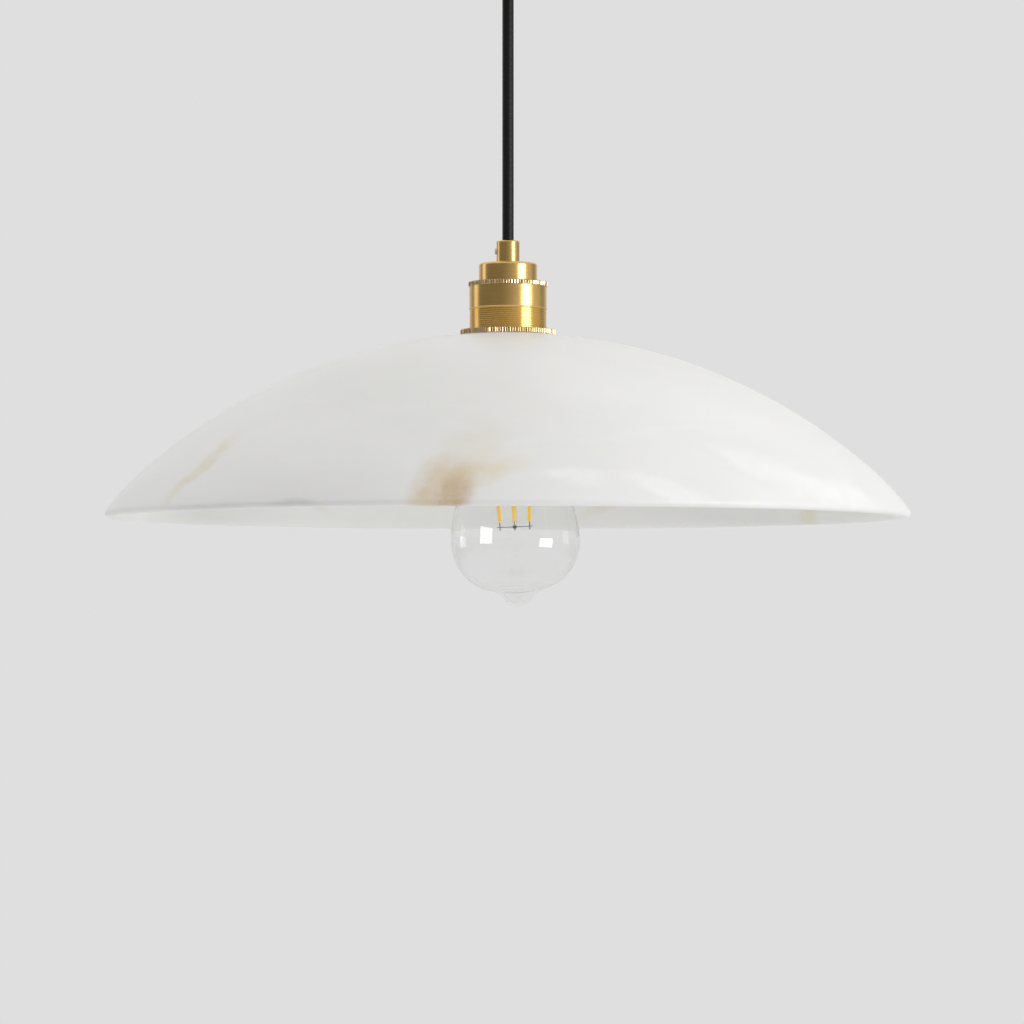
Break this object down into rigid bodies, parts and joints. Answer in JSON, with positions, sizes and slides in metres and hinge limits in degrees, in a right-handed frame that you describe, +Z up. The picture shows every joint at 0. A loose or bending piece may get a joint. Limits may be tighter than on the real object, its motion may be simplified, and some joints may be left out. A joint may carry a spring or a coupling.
{
  "type": "marble pendant light",
  "caption": "Pendant light: a shallow white stone dome on a brass lampholder with a clear filament bulb, hung on a black braided cord from a brass ceiling rose.",
  "frame": {"origin": "where the ceiling rose meets the ceiling, on the cord's axis", "axes": "+Z up into the ceiling, +X along the bracket and across the picture, +Y away from the viewer"},
  "size_m": [0.4, 0.4, 0.3499],
  "materials": {
    "brass": "satin, fine turned grain",
    "zinc_steel": "zinc plated, satin",
    "white_stone": "honed, translucent, with soft brown veins",
    "black_braid": "braided textile with a soft sheen",
    "brown_core": "smooth insulation",
    "blue_core": "smooth insulation",
    "earth_core": "smooth insulation",
    "porcelain": "glazed",
    "white_plastic": "moulded",
    "washer_rubber": "soft, matt, translucent white",
    "spring_brass": "bare strip",
    "nickel": "satin nickel plate",
    "black_glass": "glossy black glass",
    "clear_glass": "clear, polished",
    "yellow_phosphor": "silicone over light-emitting chips",
    "dark_wire": "drawn wire"
  },
  "bodies": {
    "rose": {"ceiling_bracket": "zinc_steel", "rose_cup": "brass", "rose_side_screws": "brass", "rose_cord_grip": "brass", "rose_grip_screw": "brass", "rose_grip_nut": "brass", "terminal_block": "white_plastic", "terminal_tubes": "spring_brass", "terminal_screws": "zinc_steel", "terminal_block_screw": "zinc_steel", "rose_earth_screw": "zinc_steel", "rose_cord_tail": "black_braid", "rose_core_live": "brown_core", "rose_core_neutral": "blue_core", "rose_core_earth": "earth_core"},
    "cord_bend": {"cord_root": "black_braid"},
    "cord": {"cord": "black_braid"},
    "lampholder": {"lamp_cord_grip": "brass", "lamp_grip_screw": "brass", "lamp_grip_nut": "brass", "lamp_cord_tail": "black_braid", "lampholder_cap": "brass", "lamp_earth_screw": "zinc_steel", "lampholder_skirt": "brass", "porcelain_insert": "porcelain", "live_terminal": "spring_brass", "neutral_terminal": "spring_brass", "lamp_terminal_screws": "zinc_steel", "lamp_core_live": "brown_core", "lamp_core_neutral": "blue_core", "lamp_core_earth": "earth_core", "screw_shell": "spring_brass", "centre_contact": "spring_brass", "contact_rivets": "spring_brass"},
    "upper_washer": {"upper_washer": "washer_rubber"},
    "upper_ring": {"upper_shade_ring": "brass"},
    "lower_washer": {"lower_washer": "washer_rubber"},
    "lower_ring": {"lower_shade_ring": "brass"},
    "shade": {"shade": "white_stone"},
    "bulb_driver": {"bulb_driver": "white_plastic"},
    "bulb": {"bulb_cap": "nickel", "bulb_cap_glass": "black_glass", "bulb_contact": "nickel", "bulb_glass": "clear_glass", "bulb_stem": "clear_glass", "bulb_filaments": "yellow_phosphor", "bulb_wires": "dark_wire", "bulb_leads": "dark_wire"}
  },
  "joints": [
    {"name": "swing_front_back", "type": "hinge", "parent": "rose", "child": "cord_bend", "pos_m": [0, 0, -0.0396], "axis": [1, 0, 0], "range_deg": [-20, 20]},
    {"name": "swing_side_to_side", "type": "hinge", "parent": "cord_bend", "child": "cord", "pos_m": [0, 0, -0.0396], "axis": [0, 1, 0], "range_deg": [-20, 20]},
    {"name": "lamp_twist", "type": "hinge", "parent": "cord", "child": "lampholder", "pos_m": [0, 0, -0.1672], "axis": [0, 0, 1], "range_deg": [-180, 180]},
    {"name": "bulb_travel", "type": "slide", "parent": "lampholder", "child": "bulb_driver", "axis": [0, 0, -1], "range_m": [0, 0.0181]},
    {"name": "bulb_turn", "type": "hinge", "parent": "bulb_driver", "child": "bulb", "pos_m": [0, 0, -0.2], "axis": [0, 0, -1], "range_deg": [0, 1800]},
    {"name": "upper_ring_travel", "type": "slide", "parent": "lampholder", "child": "upper_washer", "axis": [0, 0, 1], "range_m": [0, 0.01]},
    {"name": "upper_ring_turn", "type": "hinge", "parent": "upper_washer", "child": "upper_ring", "pos_m": [0, 0, -0.2], "axis": [0, 0, 1], "range_deg": [0, 3601]},
    {"name": "lower_ring_travel", "type": "slide", "parent": "lampholder", "child": "lower_washer", "axis": [0, 0, -1], "range_m": [0, 0.011]},
    {"name": "lower_ring_turn", "type": "hinge", "parent": "lower_washer", "child": "lower_ring", "pos_m": [0, 0, -0.2], "axis": [0, 0, -1], "range_deg": [0, 3961]},
    {"name": "shade_turn", "type": "hinge", "parent": "lower_washer", "child": "shade", "pos_m": [0, 0, -0.2], "axis": [0, 0, 1], "range_deg": [-180, 180]}
  ],
  "couplings": [
    {"joint": "bulb_turn", "follows": "bulb_travel", "rad_per_m": 1731.4},
    {"joint": "upper_ring_turn", "follows": "upper_ring_travel", "rad_per_m": 6283.2},
    {"joint": "lower_ring_turn", "follows": "lower_ring_travel", "rad_per_m": 6283.2}
  ]
}
